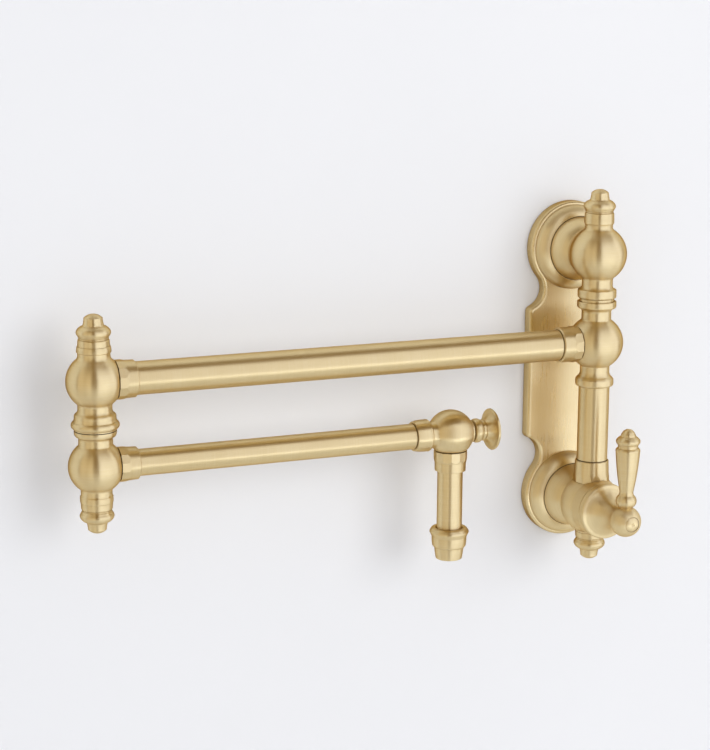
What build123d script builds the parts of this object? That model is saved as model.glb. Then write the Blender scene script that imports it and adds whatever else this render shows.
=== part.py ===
from build123d import *
from math import copysign, cos, pi, sqrt
import os

# Wall mounted pot filler with two swinging arms, millimetres.
# The origin is the centre of the supply inlet on the wall. +Y runs into the wall, +Z up, and
# the arms are stored folded to the left, along -X.

# Stations
column_out = 45.0  # swivel column's axis in front of the wall
arm_rise = 119.0  # long arm's axis above the inlet
post_lift = 63.5  # upper post above the long arm's axis
arm_drop = 56.5  # short arm's axis below the long arm's
long_reach = 367.5  # column axis to elbow axis
short_reach = 254.5  # elbow axis to spout axis
lever_out = 50.0  # lever's ball in front of the column axis

# Clearances
running = 0.05  # radial, turning fits
slip = 0.05  # radial, screwed and brazed fits
face_gap = 0.1  # between stacked faces that move
seam = 0.3  # seen between a turning piece and its neighbour
ball_seam = 0.7  # between a ball and the nut screwed up to it
flat_round = cos(pi / 12)  # twelve wrench flats, against the corners' radius

# Tubes
long_tube_r = 11.0
long_tube_wall = 1.2
short_tube_r = 8.9
short_tube_wall = 1.1
tube_entry = 1.3  # how deep the long tube goes into the hub's flat
spout_seat = 17.4  # short tube's end from the spout axis
elbow_seat = 11.0  # tube's end from the elbow axis

# Backplate and rosettes
lobe_r = 33.0
plate_half_width = 33.3
plate_thickness = 8.5
plate_rim = 3.0
plate_pocket = 5.5  # depth of the hollow back
plate_edge = 2.3
waist_half_width = 22.3
waist_cove = 14.0
shoulder_r = 4.0
shank_hole_r = 16.2
rosette_r = 30.6
rosette_height = 8.4
rosette_seat_r = 23.1
rosette_lip = 5.4  # lip's height, on which the shank's shoulder bears
rosette_swell = 2.0
rosette_crown = 0.4  # flat round the seat's mouth

# Shanks between the wall and the two balls on the column
shank_rim_r = 22.9
shank_rim = 3.2
shank_neck_r = 17.0
shank_neck_out = 31.5
shank_swell = 1.2
shank_boss_r = 15.0

# Wall bracket
bracket_r = 26.0
bracket_thickness = 4.5
bracket_stud_r = 8.0
bracket_stud_out = 28.0
bracket_screw_r = 2.75
bracket_screw_head_r = 5.2
bracket_screw_spacing = 36.0
set_screw_r = 3.0
set_screw_length = 10.0
set_screw_out = 22.0
set_screw_key_r = 1.5
set_screw_key_depth = 3.0

# Balls
post_ball_r = 20.2
hub_ball_r = 19.6
upper_elbow_ball_r = 18.65
lower_elbow_ball_r = 18.25
spout_ball_r = 16.4
valve_ball_r = 21.6
lever_ball_r = 11.0
ball_root = 5.0  # how deep a shank or socket starts inside its ball, from the centre

# Finials, the same turned cap four times
finial_band_r = 10.5
finial_band = 4.4
finial_groove_r = 9.5
finial_groove = 1.3
finial_bead = 0.35
finial_flange_r = 11.3
finial_flange = 7.4
finial_shoulder_r = 7.4
finial_shoulder = 1.1
finial_tip_r = 6.1
finial_tip = 6.7
finial_dome = 2.6
finial_spigot_r = 8.4
finial_spigot = 6.0

# Necks and rings on the balls, heights taken from each ball's centre
post_neck_r = 10.9
post_ring_r = 13.7
post_ring = (-31.0, -25.4)
post_plug_r = 12.2
post_foot = -35.3
post_waist_r = 9.7
post_waist = 19.6
post_seat = 25.0

hub_cup_r = 13.9
hub_cup = (26.4, 30.0)
hub_cup_wall = 1.4
hub_cup_depth = 3.3
hub_neck_r = 10.5
hub_ring_r = 13.6
riser_seat = 27.2  # riser's upper end below the hub's centre
hub_ring = (-29.6, -25.8)
hub_foot = -31.4
hub_flat_r = 12.3

elbow_neck_r = 11.25
elbow_band_r = 11.3
elbow_band_top = 20.8
elbow_seat_top = 23.3
elbow_waist = 17.6
elbow_waist_r = 10.6
elbow_skirt_r = 13.7
elbow_skirt = -22.6
elbow_bead_r = 15.8
elbow_bead = -28.4
elbow_rim_r = 13.9
elbow_foot = -31.8
washer_gap = 0.5  # seam between the two hubs, which the thrust washer fills
washer_r = 12.6
lower_neck_r = 10.3
lower_band_r = 10.9
lower_band = (-22.4, -19.8)
lower_foot = -24.0

# Swivel fits inside the column and the elbow
pivot_r = 7.0
pivot_engaged = 18.5
pivot_bush_wall = 2.0
pivot_bush_depth = 13.0
pivot_bush_flange = 1.3
riser_foot = 26.0
riser_boss_r = 11.0
riser_boss_top = 25.0
collar_mouth = 33.0
collar_mouth_r = 12.0
collar_foot_r = 12.9
collar_flats = 6.6  # height of the wrench flats
collar_turn = 12.0  # of the flats, from facing straight out
riser_spindle_r = 8.0
riser_spindle_foot = 13.0
riser_spindle_bore = 5.4
riser_plug = 8.0
riser_bush_thickness = 0.85
ring_cord = 1.3  # rubber ring's section
ring_groove = 1.5
riser_ring_heights = (16.5, 20.5)
spindle_r = 8.5
spindle_top_r = 7.0
spindle_bore = 5.2
spindle_foot = 6.0  # above the lower ball's centre
spindle_ring_heights = (-26.0, -20.0)
spindle_top_ring_height = 10.3
spindle_waist = (-8.0, 4.0)
spindle_step = 7.5
spindle_port_r = 2.3
spindle_port_height = -2.0
spindle_head = 16.5
clip_groove = (13.2, 14.4)
clip_groove_r = 6.0
clip_r = 8.2
clip_mouth = 5.0
elbow_shoulder = (8.0, 12.8)
hub_passage_r = 8.0

# Ferrules, lengths taken from the ball's flat
ferrule_length = 13.2
ferrule_flats = 6.4  # length that carries the wrench flats
ferrule_run_out = 2.0
ferrule_chamfer = 0.6
column_ferrule_r = (12.9, 12.4)
column_ferrule_length = 14.6
upper_ferrule_r = (13.0, 12.3)
lower_ferrule_r = (11.5, 10.8)
ferrule_flat = 0.45  # ball's flat beyond the ferrule's edge

# Valve body
inlet_r = 9.3  # half inch taper pipe thread, tapping radius
inlet_depth = 17.0
inlet_passage_r = 5.5
valve_front_r = 20.0
valve_front_out = 63.7
valve_cove = 2.5
valve_outlet_r = 5.5
valve_foot = 20.2
valve_foot_r = 10.2

# Main cartridge, distances from the wall
cartridge_foot = 40.2
cartridge_disc_r = 7.8
cartridge_disc = 3.0
cartridge_seal_height = 2.0
cartridge_fork = 2.7
cartridge_wall = 1.2
cartridge_thread_r = 12.1
cartridge_thread = (54.0, 62.0)
cartridge_nose_r = 7.5
cartridge_nose = 4.0
stem_r = 4.0
stem_end = 84.0

# Lever
skirt_r = 20.0
skirt_band = 3.7
skirt_round = 1.5
skirt_step_r = 17.3
skirt_hollow = 5.2
skirt_hollow_r = 16.4
lever_neck_r = 9.6
lever_flare = 4.2
lever_screw_r = 2.5
lever_screw_head_r = 4.2
lever_screw_head = 2.5
lever_screw_length = 12.0
lever_cap_r = 5.4
lever_cap_groove = 0.5
lever_cap_plug = 3.0
lever_cap_crown = 1.2
lever_cap_dimple_r = 1.2
lever_cap_dimple = 0.7
handle_seat_r = 4.7
handle_bulb_r = 7.3
handle_bulb = 14.9
handle_neck_r = 4.8
handle_neck = 21.6
handle_shoulder_r = 8.5
handle_shoulder = 50.4
handle_groove_r = 7.1
handle_groove = (53.2, 55.4)
handle_flange_r = 8.5
handle_flange = 58.6
handle_cap_r = 5.3
handle_cap = 61.6
handle_tip = 66.6
handle_tip_r = 4.6
handle_dome = 3.0
handle_spigot_r = 3.0
handle_spigot = 6.0

# Spout
spout_neck_r = 9.4
spout_neck_out = 16.8
spout_socket_r = (11.0, 10.3)
spout_socket_out = (18.0, 28.8)
spout_flat_r = 8.6
spout_collar_r = (11.7, 11.0)
spout_collar = (ball_seam, 7.9, 14.8)
spout_run_out = 1.6
spout_collar_turn = -6.0
spout_nipple = 6.0
spout_outlet_r = 4.5
spout_length = 70.6  # ball's centre to the tube's lower end
aerator_socket = 2.6
aerator_bead_r = 13.85
aerator_bead = 6.4
aerator_mouth_r = 11.2
aerator_mouth_cove = 0.5
aerator_band_r = (12.3, 11.85)
aerator_band = 7.6
aerator_web = 2.3
aerator_web_r = 7.0
aerator_thread_r = 9.25
aerator_thread = 8.0
shell_r = (10.4, 9.0)
shell_length = 8.6
shell_bore = 7.8
shell_lip = 0.8
shell_lip_r = 7.0
mesh_thickness = 0.6
mesh_pitch = 2.0
mesh_hole = 1.5
insert_height = 11.0
insert_bore = 6.0
insert_plate = 2.0
insert_holes = 10
insert_hole_r = 0.9

# Spout cartridge, distances from the ball's centre along the arm
shutoff_foot = -5.5
shutoff_disc_r = 5.6
shutoff_disc = 2.0
shutoff_seal_height = 1.4
shutoff_fork = 1.6
shutoff_wall = 1.0
shutoff_thread_r = 8.15
shutoff_thread = (4.0, 15.0)
shutoff_nose_r = 4.8
shutoff_nose = 1.6
shutoff_stem_r = 2.8
shutoff_stem_end = 25.0
shutoff_inlet_r = 4.5

# Knob
knob_ring_r = 8.5
knob_ring = 5.4
knob_swell = 1.0
knob_groove_r = 7.0
knob_groove = 0.5
knob_collar_r = 7.5
knob_collar = 3.0
knob_cone_r = 6.5
knob_cone = 4.4
knob_cone_cove = 1.6
knob_rim_r = 14.6
knob_rim = 2.0
knob_dome = 4.2
knob_screw_r = 1.5
knob_screw_length = 5.0

# Worked out from the sizes above
column_y = -column_out
post_rise = arm_rise + post_lift
elbow_x = -long_reach
spout_x = elbow_x + short_reach
short_arm_rise = arm_rise - arm_drop
shank_seat = plate_thickness + face_gap + rosette_lip
long_bore = long_tube_r - long_tube_wall
short_bore = short_tube_r - short_tube_wall
finial_bore = finial_spigot_r + slip


def upright(x, z=0.0):
    """Plane on the column's line at x, whose heights run up from z."""
    return Plane(origin=(x, column_y, z), x_dir=(1, 0, 0), z_dir=(0, -1, 0))


def hanging(x, z=0.0):
    """Plane on the column's line at x, whose heights run down from z."""
    return Plane(origin=(x, column_y, z), x_dir=(1, 0, 0), z_dir=(0, 1, 0))


def outward(z):
    """Plane at height z on the wall, whose heights run out of the wall."""
    return Plane(origin=(0, 0, z), x_dir=(1, 0, 0), z_dir=(0, 0, -1))


def rightward(x, z):
    """Plane on an arm's line, whose heights run right from x."""
    return Plane(origin=(x, column_y, z), x_dir=(0, 0, 1), z_dir=(0, 1, 0))


def leftward(x, z):
    """Plane on an arm's line, whose heights run left from x."""
    return Plane(origin=(x, column_y, z), x_dir=(0, 0, 1), z_dir=(0, -1, 0))


def on_ball(ball_r, radius):
    """Distance from a ball's centre to its circle of this radius."""
    return sqrt(ball_r**2 - radius**2)


def dome(radius, height, top):
    """Profile step to the axis over a round end, or into a dish, that starts at (radius, height)."""
    rise = top - height
    sphere = (radius**2 + rise**2) / (2 * rise)
    half = radius / 2
    return (0, top, (half, top - sphere + copysign(sqrt(sphere**2 - half**2), sphere)))


def turn(plane, steps, mode=Mode.ADD):
    """Turn a closed profile round the plane's upright line.

    Each step is (radius, height), or (radius, height, bulge) for an arc that stands out by bulge
    to the right of its chord, or (radius, height, (radius, height)) for an arc through a point.
    """
    with BuildSketch(plane) as profile:
        with BuildLine():
            at = steps[-1][:2]
            for radius, height, *bend in steps:
                to = (radius, height)
                if not bend:
                    Line(at, to)
                elif isinstance(bend[0], tuple):
                    ThreePointArc(at, bend[0], to)
                else:
                    run = Vector(*to) - Vector(*at)
                    side = Vector(run.Y, -run.X).normalized() * bend[0]
                    middle = (Vector(*to) + Vector(*at)) / 2 + side
                    ThreePointArc(at, (middle.X, middle.Y), to)
                at = to
        make_face()
    revolve(profile.sketch, axis=Axis(plane.origin, plane.y_dir), mode=mode)


def rod(plane, radius, low, high, mode=Mode.ADD):
    """Turn a plain cylinder between two heights."""
    turn(plane, [(0, low), (radius, low), (radius, high), (0, high)], mode)


def sleeve(plane, bore, radius, low, high):
    """Turn a plain ring between two heights."""
    turn(plane, [(bore, low), (radius, low), (radius, high), (bore, high)])


def cord_rings(plane, outer, heights):
    """Rubber rings of round section, one at each height, as a group of solids."""
    with BuildPart() as rings:
        for height in heights:
            with BuildSketch(plane) as section:
                with Locations((outer - ring_cord / 2, height)):
                    Circle(ring_cord / 2)
            revolve(section.sketch, axis=Axis(plane.origin, plane.y_dir))
    return rings


def groove(plane, outer, height):
    """Cut a rubber ring's groove into a shaft."""
    floor = outer - ring_cord
    low = height - ring_groove / 2
    high = height + ring_groove / 2
    proud = outer + ring_cord
    turn(plane, [(floor, low), (proud, low), (proud, high), (floor, high)], Mode.SUBTRACT)


def wrench_flats(plane, corner_r, low, high, turned=0.0):
    """Cut twelve wrench flats into a nut that lies between two heights."""
    foot = Plane(origin=plane.origin + plane.y_dir * low, x_dir=plane.x_dir, z_dir=plane.y_dir)
    with BuildSketch(foot) as flats:
        RegularPolygon(corner_r, 12, rotation=15 - turned)
    extrude(flats.sketch, amount=high - low, mode=Mode.INTERSECT)


pieces = {}

# ---------------------------------------------------------------- wall: plate, rosettes, bracket

cove_x = waist_half_width + waist_cove
cove = Vector(cove_x, on_ball(lobe_r + waist_cove, cove_x))
shoulder_x = plate_half_width - shoulder_r
shoulder = Vector(shoulder_x, cove.Y + on_ball(waist_cove + shoulder_r, cove_x - shoulder_x))
shoulder_top = Vector(plate_half_width, shoulder.Y)
shoulder_foot = shoulder + (cove - shoulder).normalized() * shoulder_r
shoulder_middle = shoulder + (shoulder_top + shoulder_foot - shoulder * 2).normalized() * shoulder_r
lobe_end = cove.normalized() * lobe_r

with BuildPart() as backplate:
    with BuildSketch(Plane.XZ) as outline:
        with BuildLine():
            Line((plate_half_width, post_rise / 2), shoulder_top)
            ThreePointArc(shoulder_top, shoulder_middle, shoulder_foot)
            ThreePointArc(shoulder_foot, (waist_half_width, cove.Y), lobe_end)
            ThreePointArc(lobe_end, (lobe_r, 0), (0, -lobe_r))
            mirror(about=Plane.YZ)
            mirror(about=Plane.XZ.offset(-post_rise / 2))
        make_face()
    extrude(amount=plate_thickness)
    fillet(backplate.faces().sort_by(Axis.Y)[0].edges(), plate_edge)
    with BuildSketch(Plane.XZ):
        add(outline.sketch)
        offset(amount=-plate_rim, mode=Mode.REPLACE)
    extrude(amount=plate_pocket, mode=Mode.SUBTRACT)
    for rise in (0, post_rise):
        rod(outward(rise), shank_hole_r, 0, plate_thickness, Mode.SUBTRACT)
pieces["backplate"] = backplate

rosette_foot = plate_thickness + face_gap / 2
rosette_top = rosette_foot + rosette_height
for name, rise in (("upper_rosette", post_rise), ("lower_rosette", 0)):
    with BuildPart() as rosette:
        turn(
            outward(rise),
            [
                (shank_hole_r, rosette_foot),
                (rosette_r, rosette_foot),
                (rosette_seat_r + rosette_crown, rosette_top, rosette_swell),
                (rosette_seat_r, rosette_top),
                (rosette_seat_r, rosette_foot + rosette_lip),
                (shank_hole_r, rosette_foot + rosette_lip),
            ],
        )
    pieces[name] = rosette

with BuildPart() as wall_bracket:
    rod(outward(post_rise), bracket_r, 0, bracket_thickness)
    rod(outward(post_rise), bracket_stud_r, bracket_thickness, bracket_stud_out)
    sink = bracket_screw_head_r - bracket_screw_r
    with BuildSketch(Plane.XZ.offset(bracket_thickness - sink)):
        with Locations((0, post_rise)):
            with GridLocations(bracket_screw_spacing, 0, 2, 1):
                Circle(bracket_screw_r)
    extrude(amount=sink, taper=-45, mode=Mode.SUBTRACT)
    with BuildSketch(Plane.XZ):
        with Locations((0, post_rise)):
            with GridLocations(bracket_screw_spacing, 0, 2, 1):
                Circle(bracket_screw_r)
    extrude(amount=bracket_thickness, mode=Mode.SUBTRACT)
pieces["wall_bracket"] = wall_bracket


def shank(rise, boss_end):
    """The flared shank behind a ball on the column, and its boss through the rosette and plate."""
    turn(
        outward(rise),
        [
            (0, boss_end),
            (shank_boss_r, boss_end),
            (shank_boss_r, shank_seat),
            (shank_rim_r, shank_seat),
            (shank_rim_r, shank_seat + shank_rim),
            (shank_neck_r, shank_neck_out, shank_swell),
            (shank_neck_r, column_out - ball_root),
            (0, column_out - ball_root),
        ],
    )


# ---------------------------------------------------------------- upper post

with BuildPart() as upper_post:
    neck_top = on_ball(post_ball_r, post_neck_r + 1)
    turn(
        upright(0, post_rise),
        [
            (0, post_foot),
            (post_plug_r, post_foot),
            (post_plug_r, post_ring[0] - 0.6),
            (post_ring_r, post_ring[0] + 0.9, 0.3),
            (post_ring_r, post_ring[1] - 0.5),
            (post_ring_r - 0.8, post_ring[1] + 0.5, 0.25),
            (post_neck_r, -22.4, -0.5),
            (post_neck_r, -neck_top - 2.2),
            (post_neck_r + 1, -neck_top, -0.35),
            (post_waist_r + 1.2, on_ball(post_ball_r, post_waist_r + 1.2), (post_ball_r, 0)),
            (post_waist_r, post_waist, -0.4),
            (finial_band_r, post_waist + 2.4, -0.3),
            (finial_band_r, post_seat),
            (0, post_seat),
        ],
    )
    shank(post_rise, bracket_thickness + face_gap)
    rod(outward(post_rise), bracket_stud_r + slip, 0, bracket_stud_out + 1, Mode.SUBTRACT)
    rod(upright(0, post_rise), finial_bore, post_seat - finial_spigot - 0.5, post_seat, Mode.SUBTRACT)
    rod(upright(0, post_rise), pivot_r + slip, post_foot, post_foot + pivot_engaged, Mode.SUBTRACT)
    screw_line = Plane(origin=(0, -set_screw_out, post_rise), x_dir=(1, 0, 0), z_dir=(0, 1, 0))
    rod(screw_line, set_screw_r + slip, 0, shank_rim_r, Mode.SUBTRACT)
pieces["upper_post"] = upper_post

with BuildPart() as post_set_screw:
    tip = bracket_stud_r + slip
    rod(screw_line, set_screw_r, tip, tip + set_screw_length)
    socket_floor = tip + set_screw_length - set_screw_key_depth
    with BuildSketch(Plane.XY.offset(post_rise - socket_floor)):
        with Locations((0, -set_screw_out)):
            RegularPolygon(set_screw_key_r, 6)
    extrude(amount=-set_screw_key_depth, mode=Mode.SUBTRACT)
pieces["post_set_screw"] = post_set_screw

with BuildPart() as pivot_pin:
    pivot_foot = arm_rise + hub_cup[1] - hub_cup_depth - pivot_bush_depth + face_gap
    pivot_head = post_rise + post_foot + pivot_engaged - face_gap
    rod(upright(0), pivot_r, pivot_foot, pivot_head)
    chamfer(pivot_pin.edges().filter_by(GeomType.CIRCLE), 0.6)
pieces["pivot_pin"] = pivot_pin


# ---------------------------------------------------------------- finials


def finial(plane):
    """The turned cap that closes the column and both ends of the elbow, with its screwed spigot."""
    groove_at = finial_band + finial_groove
    flange_at = groove_at + finial_flange
    shoulder_at = flange_at + finial_shoulder
    tip_at = shoulder_at + finial_tip
    with BuildPart() as cap:
        turn(
            plane,
            [
                (0, -finial_spigot),
                (finial_spigot_r, -finial_spigot),
                (finial_spigot_r, 0),
                (finial_band_r, 0),
                (finial_band_r - 0.2, finial_band - 0.6),
                (finial_groove_r, finial_band, 0.2),
                (finial_groove_r, finial_band + 0.3),
                (finial_groove_r, groove_at - 0.2, finial_bead),
                (finial_flange_r - 0.9, groove_at + 1.1, 0.15),
                (finial_flange_r, groove_at + finial_flange * 0.45, 0.25),
                (finial_flange_r - 2.0, flange_at - 1.0, 0.4),
                (finial_shoulder_r, flange_at, 0.15),
                (finial_tip_r + 0.6, shoulder_at, -0.2),
                (finial_tip_r, tip_at - finial_dome, -0.1),
                dome(finial_tip_r, tip_at - finial_dome, tip_at),
            ],
        )
    return cap


pieces["column_finial"] = finial(upright(0, post_rise + post_seat))
pieces["valve_finial"] = finial(hanging(0, -valve_foot))
pieces["elbow_top_finial"] = finial(upright(elbow_x, arm_rise + elbow_seat_top))
pieces["elbow_bottom_finial"] = finial(hanging(elbow_x, short_arm_rise + lower_foot))


# ---------------------------------------------------------------- ceramic cartridges


def cartridge(
    plane, foot, disc_r, disc, seal_height, fork, wall, thread_r, thread, nose_r, nose, stem, stem_top
):
    """A quarter-turn cartridge: seal, fixed disc, moving disc, stem and housing, from its foot up."""
    fixed_at = foot + seal_height
    moving_at = fixed_at + disc + face_gap / 2
    fork_at = moving_at + disc
    fork_top = fork_at + fork
    shell_r = disc_r + wall + slip
    with BuildPart() as seal:
        sleeve(plane, disc_r * 0.7, disc_r, foot, fixed_at)
    with BuildPart() as fixed:
        rod(plane, disc_r, fixed_at, fixed_at + disc)
        window = Plane(origin=plane.origin + plane.y_dir * fixed_at, x_dir=plane.x_dir, z_dir=plane.y_dir)
        with BuildSketch(window):
            with PolarLocations(disc_r * 0.5, 2):
                Circle(disc_r * 0.3)
        extrude(amount=disc, mode=Mode.SUBTRACT)
    with BuildPart() as moving:
        rod(plane, disc_r, moving_at, fork_at)
        window = Plane(origin=plane.origin + plane.y_dir * moving_at, x_dir=plane.x_dir, z_dir=plane.y_dir)
        with BuildSketch(window):
            with PolarLocations(disc_r, 2, start_angle=90):
                Circle(disc_r * 0.45)
        extrude(amount=disc, mode=Mode.SUBTRACT)
    with BuildPart() as stem_piece:
        rod(plane, disc_r - 0.2, fork_at, fork_top)
        rod(plane, stem, fork_top, stem_top)
    with BuildPart() as housing:
        turn(
            plane,
            [
                (disc_r + slip, fixed_at),
                (shell_r, fixed_at),
                (shell_r, thread[0]),
                (thread_r, thread[0]),
                (thread_r, thread[1]),
                (nose_r, thread[1]),
                (nose_r, thread[1] + nose),
                (stem + running, thread[1] + nose),
                (stem + running, fork_top + face_gap),
                (disc_r + slip, fork_top + face_gap),
            ],
        )
        port = Plane(origin=plane.origin, x_dir=plane.y_dir, z_dir=plane.x_dir)
        with BuildSketch(port):
            with Locations((moving_at + disc / 2, 0)):
                Rectangle(disc, disc_r)
        extrude(amount=thread_r, both=True, mode=Mode.SUBTRACT)
    return seal, fixed, moving, stem_piece, housing


main_parts = cartridge(
    outward(0),
    cartridge_foot,
    cartridge_disc_r,
    cartridge_disc,
    cartridge_seal_height,
    cartridge_fork,
    cartridge_wall,
    cartridge_thread_r,
    cartridge_thread,
    cartridge_nose_r,
    cartridge_nose,
    stem_r,
    stem_end,
)
main_names = ("cartridge_seal", "fixed_disc", "moving_disc", "valve_stem", "ceramic_cartridge")
pieces.update(zip(main_names, main_parts))

spout_parts = cartridge(
    rightward(spout_x, short_arm_rise),
    shutoff_foot,
    shutoff_disc_r,
    shutoff_disc,
    shutoff_seal_height,
    shutoff_fork,
    shutoff_wall,
    shutoff_thread_r,
    shutoff_thread,
    shutoff_nose_r,
    shutoff_nose,
    shutoff_stem_r,
    shutoff_stem_end,
)
spout_names = (
    "spout_cartridge_seal",
    "spout_fixed_disc",
    "spout_moving_disc",
    "spout_stem",
    "spout_cartridge",
)
pieces.update(zip(spout_names, spout_parts))

# ---------------------------------------------------------------- valve body and riser bearing

collar_seat = on_ball(valve_ball_r, collar_foot_r)

with BuildPart() as valve_body:
    top_cut = on_ball(valve_ball_r, riser_boss_r)
    foot_cut = on_ball(valve_ball_r, valve_foot_r)
    turn(
        upright(0),
        [
            (0, -valve_foot),
            (valve_foot_r, -valve_foot),
            (valve_foot_r, -foot_cut),
            (riser_boss_r, top_cut, (valve_ball_r, 0)),
            (riser_boss_r, riser_boss_top),
            (0, riser_boss_top),
        ],
    )
    trim = (valve_front_out - valve_cove, column_out + valve_ball_r + valve_cove)
    rod(outward(0), valve_ball_r, *trim, Mode.SUBTRACT)
    shank(0, 0)
    turn(
        outward(0),
        [
            (0, column_out + ball_root),
            (valve_front_r, column_out + ball_root),
            (valve_front_r, valve_front_out - 0.5),
            (valve_front_r - 0.5, valve_front_out, 0.15),
            (0, valve_front_out),
        ],
    )
    turn(
        upright(0),
        [
            (riser_boss_r, collar_seat),
            (collar_foot_r + face_gap, collar_seat),
            (collar_foot_r + face_gap, riser_boss_top),
            (riser_boss_r, riser_boss_top),
        ],
        Mode.SUBTRACT,
    )
    rod(outward(0), inlet_r, 0, inlet_depth, Mode.SUBTRACT)
    rod(outward(0), inlet_passage_r, inlet_depth, cartridge_foot, Mode.SUBTRACT)
    rod(outward(0), cartridge_thread_r + slip, cartridge_foot, valve_front_out, Mode.SUBTRACT)
    rod(upright(0), valve_outlet_r, 0, riser_spindle_foot, Mode.SUBTRACT)
    rod(upright(0), riser_spindle_r + running, riser_spindle_foot - 0.5, riser_boss_top, Mode.SUBTRACT)
    rod(upright(0), finial_bore, -valve_foot, -valve_foot + finial_spigot + 0.5, Mode.SUBTRACT)
pieces["valve_body"] = valve_body

with BuildPart() as riser_collar:
    collar_foot = collar_seat + face_gap
    turn(
        upright(0),
        [
            (riser_boss_r + slip, collar_foot),
            (collar_foot_r, collar_foot),
            (collar_foot_r * flat_round - slip, collar_foot + collar_flats, 0.08),
            (collar_mouth_r, collar_mouth - 0.5, 0.08),
            (collar_mouth_r - 0.35, collar_mouth, 0.1),
            (long_tube_r + seam, collar_mouth),
            (long_tube_r + seam, riser_boss_top),
            (riser_boss_r + slip, riser_boss_top),
        ],
    )
    wrench_flats(upright(0), collar_foot_r, collar_foot, collar_mouth, collar_turn)
pieces["riser_collar"] = riser_collar

with BuildPart() as riser_bush:
    sleeve(
        upright(0),
        riser_spindle_r + running,
        riser_boss_r - 0.2,
        riser_boss_top,
        riser_boss_top + riser_bush_thickness,
    )
pieces["riser_bush"] = riser_bush

with BuildPart() as riser_spindle:
    turn(
        upright(0),
        [
            (riser_spindle_bore, riser_spindle_foot),
            (riser_spindle_r, riser_spindle_foot),
            (riser_spindle_r, riser_foot),
            (long_bore - slip, riser_foot),
            (long_bore - slip, riser_foot + riser_plug),
            (riser_spindle_bore, riser_foot + riser_plug),
        ],
    )
    for height in riser_ring_heights:
        groove(upright(0), riser_spindle_r, height)
pieces["riser_spindle"] = riser_spindle
pieces["riser_o_rings"] = cord_rings(upright(0), riser_spindle_r, riser_ring_heights)

# ---------------------------------------------------------------- column hub and riser

hub_flat = on_ball(hub_ball_r, hub_flat_r)
tube_seat = hub_flat - tube_entry

with BuildPart() as column_hub:
    neck_cut = on_ball(hub_ball_r, hub_neck_r + 0.8)
    cup_bore = hub_cup_r - hub_cup_wall
    turn(
        upright(0, arm_rise),
        [
            (0, hub_foot),
            (hub_ring_r - 1.4, hub_foot),
            (hub_ring_r, hub_ring[0] + 0.6, 0.5),
            (hub_ring_r, hub_ring[1] - 0.6),
            (hub_neck_r + 1.2, hub_ring[1] + 1.6, 0.2),
            (hub_neck_r, -neck_cut - 3.6, -0.5),
            (hub_neck_r, -neck_cut - 1.0),
            (hub_neck_r + 0.8, -neck_cut, -0.2),
            (hub_neck_r + 0.8, neck_cut, (hub_ball_r, 0)),
            (hub_neck_r, neck_cut + 1.4, -0.25),
            (hub_neck_r, hub_cup[0] - 5.2),
            (hub_cup_r - 1.0, hub_cup[0] - 1.4, -1.0),
            (hub_cup_r, hub_cup[0], 0.2),
            (hub_cup_r, hub_cup[1] - 0.4),
            (hub_cup_r - 0.4, hub_cup[1], 0.1),
            (0, hub_cup[1]),
        ],
    )
    rod(leftward(0, arm_rise), hub_ball_r, hub_flat, hub_ball_r, Mode.SUBTRACT)
    rod(upright(0, arm_rise), cup_bore, hub_cup[1] - hub_cup_depth, hub_cup[1], Mode.SUBTRACT)
    bush_r = pivot_r + running + pivot_bush_wall
    bush_floor = hub_cup[1] - hub_cup_depth - pivot_bush_depth
    rod(upright(0, arm_rise), bush_r + slip, bush_floor, hub_cup[1], Mode.SUBTRACT)
    rod(upright(0, arm_rise), long_tube_r + slip, hub_foot, -riser_seat, Mode.SUBTRACT)
    rod(upright(0, arm_rise), hub_passage_r, -riser_seat, hub_passage_r, Mode.SUBTRACT)
    rod(leftward(0, arm_rise), hub_passage_r, 0, tube_seat, Mode.SUBTRACT)
    rod(leftward(0, arm_rise), long_tube_r + slip, tube_seat, hub_flat, Mode.SUBTRACT)
pieces["column_hub"] = column_hub

with BuildPart() as pivot_bush:
    turn(
        upright(0, arm_rise),
        [
            (pivot_r + running, bush_floor),
            (bush_r, bush_floor),
            (bush_r, hub_cup[1] - hub_cup_depth),
            (cup_bore - slip, hub_cup[1] - hub_cup_depth),
            (cup_bore - slip, hub_cup[1] - hub_cup_depth + pivot_bush_flange),
            (pivot_r + running, hub_cup[1] - hub_cup_depth + pivot_bush_flange),
        ],
    )
pieces["pivot_bush"] = pivot_bush

with BuildPart() as riser_tube:
    sleeve(upright(0), long_bore, long_tube_r, riser_foot, arm_rise - riser_seat)
pieces["riser_tube"] = riser_tube

# ---------------------------------------------------------------- ferrules, tubes and elbow

upper_flat = on_ball(upper_elbow_ball_r, upper_ferrule_r[0] + ferrule_flat)
lower_flat = on_ball(lower_elbow_ball_r, lower_ferrule_r[0] + ferrule_flat)


def ferrule(plane, tube_r, outer, flat, length):
    """Nut between an arm's tube and the flat on its ball."""
    start = flat + ball_seam
    end = start + length
    with BuildPart() as collar:
        turn(
            plane,
            [
                (tube_r + slip, start),
                (outer[0], start),
                (outer[0], start + ferrule_flats - ferrule_run_out),
                (outer[0] * flat_round - slip, start + ferrule_flats),
                (outer[1], end - ferrule_chamfer),
                (outer[1] - ferrule_chamfer, end),
                (tube_r + slip, end),
            ],
        )
        wrench_flats(plane, outer[0], start, end)
    return collar


pieces["column_ferrule"] = ferrule(
    leftward(0, arm_rise), long_tube_r, column_ferrule_r, hub_flat, column_ferrule_length
)
pieces["upper_elbow_ferrule"] = ferrule(
    rightward(elbow_x, arm_rise), long_tube_r, upper_ferrule_r, upper_flat, ferrule_length
)
pieces["lower_elbow_ferrule"] = ferrule(
    rightward(elbow_x, short_arm_rise), short_tube_r, lower_ferrule_r, lower_flat, ferrule_length
)

with BuildPart() as long_tube:
    sleeve(leftward(0, arm_rise), long_bore, long_tube_r, tube_seat, long_reach - elbow_seat)
pieces["long_tube"] = long_tube

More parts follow.
